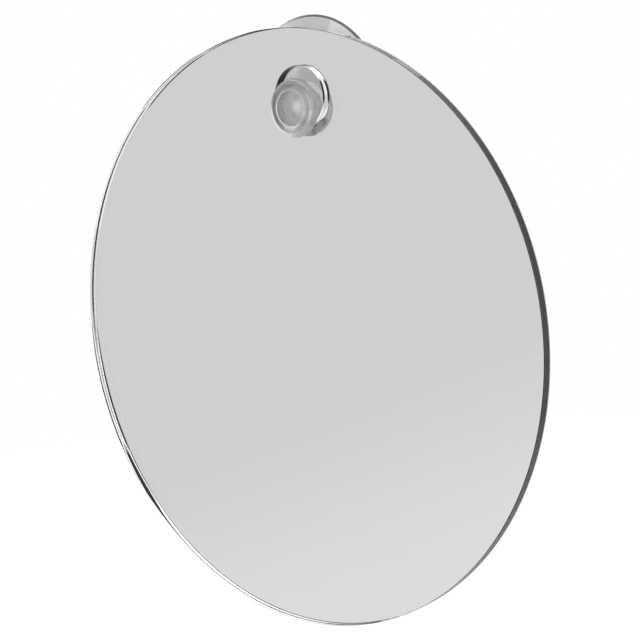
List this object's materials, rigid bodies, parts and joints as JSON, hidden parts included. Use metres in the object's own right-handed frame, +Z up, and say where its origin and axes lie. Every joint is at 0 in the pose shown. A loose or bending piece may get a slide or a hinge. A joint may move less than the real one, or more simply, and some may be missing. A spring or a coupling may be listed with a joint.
{
  "type": "fog-free shower mirror",
  "caption": "Round frameless fog-free shower mirror in clear acrylic, hung by a hole near its top edge on the mushroom stud of a clear suction cup.",
  "frame": {"origin": "centre of the suction cup's contact ring, on the wall plane", "axes": "+Z up, +Y into the wall, so the mirror looks towards -Y; +X to the right as seen from the room"},
  "size_m": [0.18, 0.0106, 0.184],
  "materials": {
    "soft_vinyl": "clear soft vinyl, slightly hazy and glossy",
    "clear_acrylic": "clear polished face, laser-cut edge with fine ripple",
    "mirror_film": "vacuum-metallised silver",
    "backing_paint": "matt grey protective coat",
    "fog_free_coat": "clear and glossy"
  },
  "bodies": {
    "suction_cup": {"suction_cup": "soft_vinyl"},
    "mirror_plate": {"acrylic_sheet": "clear_acrylic", "reflective_film": "mirror_film", "backing_coat": "backing_paint", "fog_free_film": "fog_free_coat"}
  },
  "joints": [
    {"name": "plate_swivel", "type": "hinge", "parent": "suction_cup", "child": "mirror_plate", "pos_m": [0, -0.0054, 0], "axis": [0, -1, 0], "continuous": true}
  ]
}
